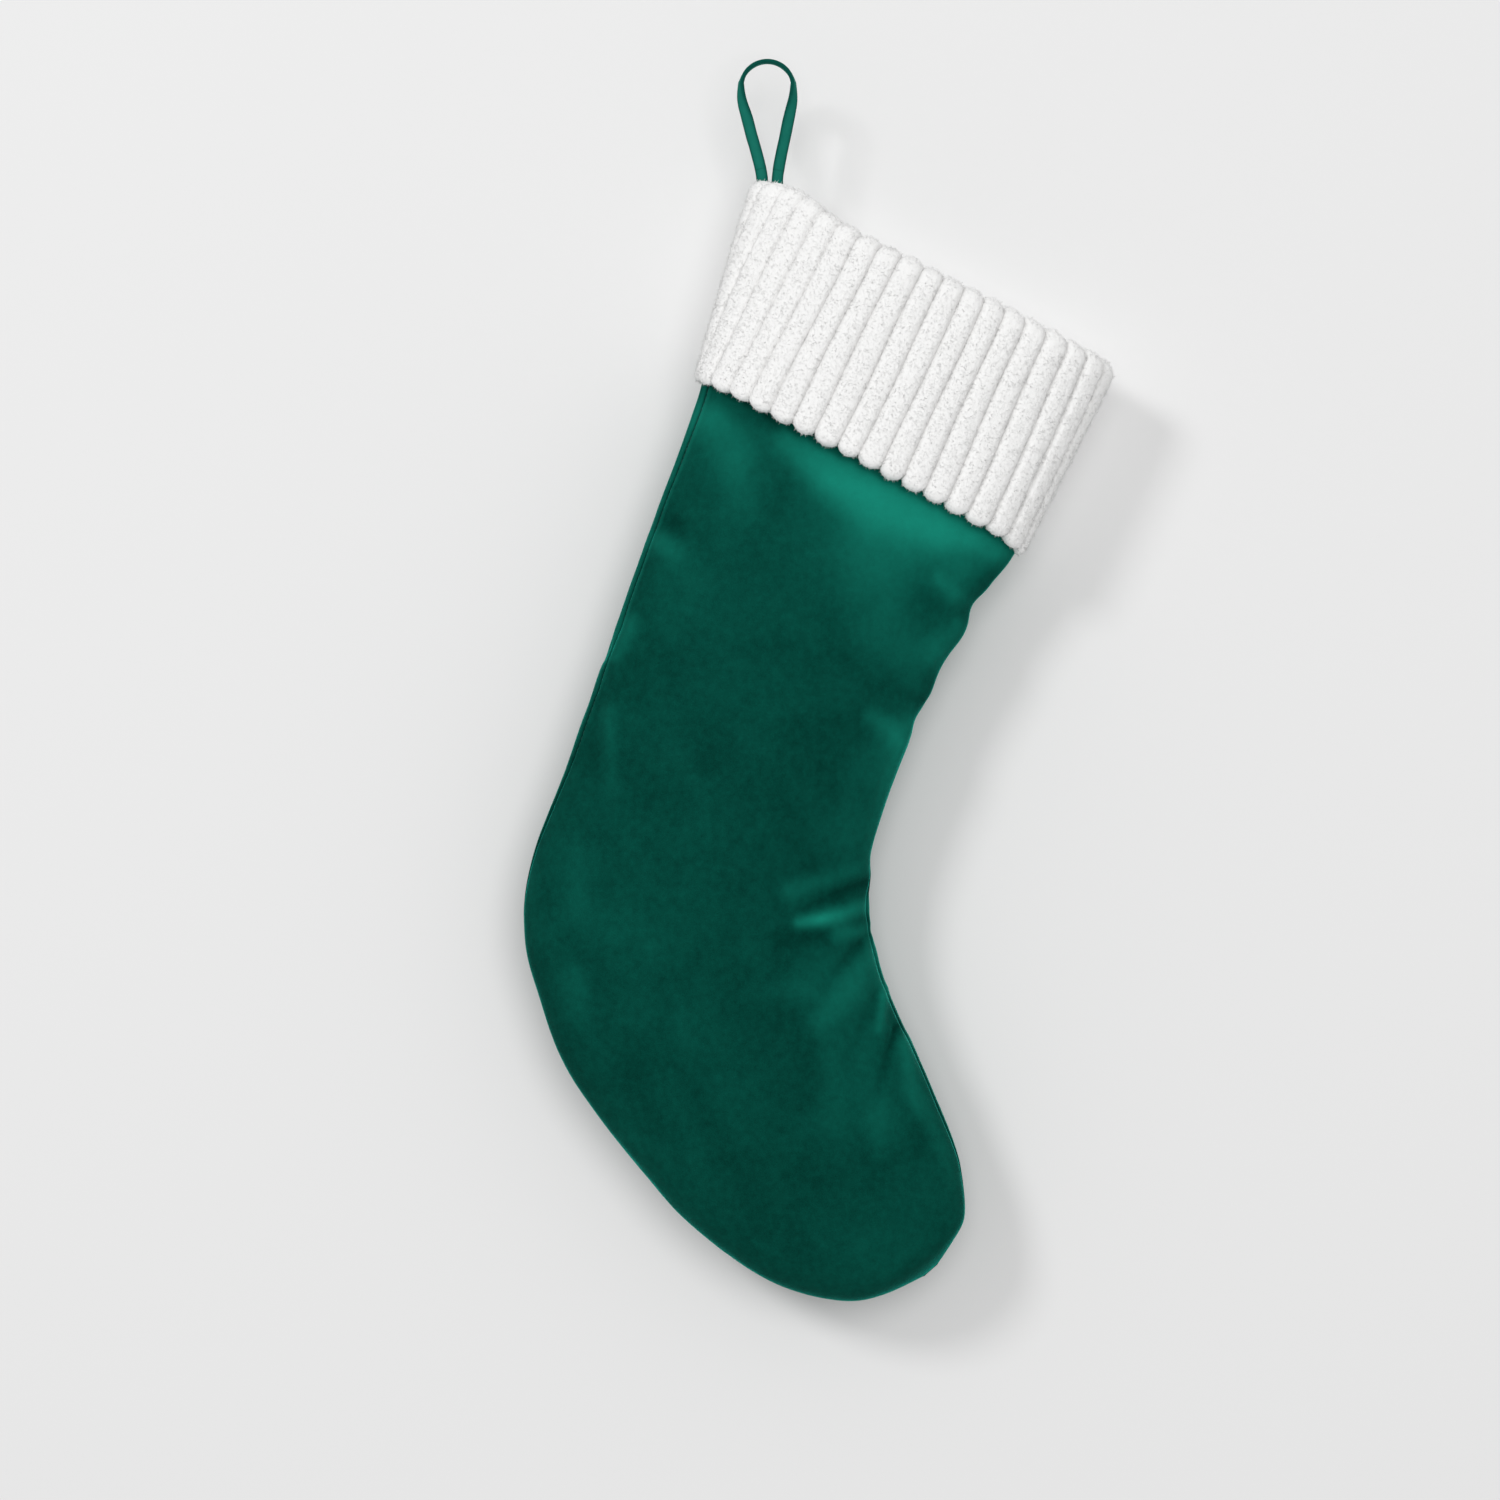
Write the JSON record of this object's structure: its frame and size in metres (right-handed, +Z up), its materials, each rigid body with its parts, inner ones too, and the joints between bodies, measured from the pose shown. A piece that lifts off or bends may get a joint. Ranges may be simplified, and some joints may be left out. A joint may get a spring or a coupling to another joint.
{
  "type": "hanging christmas stocking",
  "caption": "Lined velvet Christmas stocking with a deep ribbed plush cuff, hanging at a slant from a strap loop sewn at the heel-side corner.",
  "frame": {"origin": "on the axis of the peg that the strap loop hangs on, in the middle of the strap's width", "axes": "+Z up as it hangs, +Y towards the wall behind it along the peg, +X to the right of someone facing it"},
  "size_m": [0.3106, 0.08, 0.6492],
  "materials": {
    "velvet": "deep green velvet",
    "velvet_strap": "deep green velvet strap",
    "lining": "smooth woven green lining",
    "plush": "white ribbed plush pile",
    "thread": "matt sewing thread"
  },
  "bodies": {
    "loop": {"hanging_loop": "velvet_strap"},
    "neck": {"loop_neck": "velvet_strap"},
    "stocking": {"loop_tails": "velvet_strap", "loop_tack_thread": "thread", "velvet_front": "velvet", "velvet_back": "velvet", "shell_seam_thread": "thread", "lining_front": "lining", "lining_back": "lining", "lining_seam_thread": "thread", "cuff_front": "plush", "cuff_back": "plush", "cuff_seam_thread": "thread", "facing_front": "plush", "facing_back": "plush", "mouth_seam_thread": "thread"}
  },
  "joints": [
    {"name": "loop_fold", "type": "hinge", "parent": "loop", "child": "neck", "pos_m": [0.0013, 0, -0.038], "axis": [1, 0, 0], "range_deg": [-80, 0]},
    {"name": "loop_tilt", "type": "hinge", "parent": "neck", "child": "stocking", "pos_m": [0.0013, 0, -0.0465], "axis": [0, 1, 0], "range_deg": [-25, 25]}
  ]
}
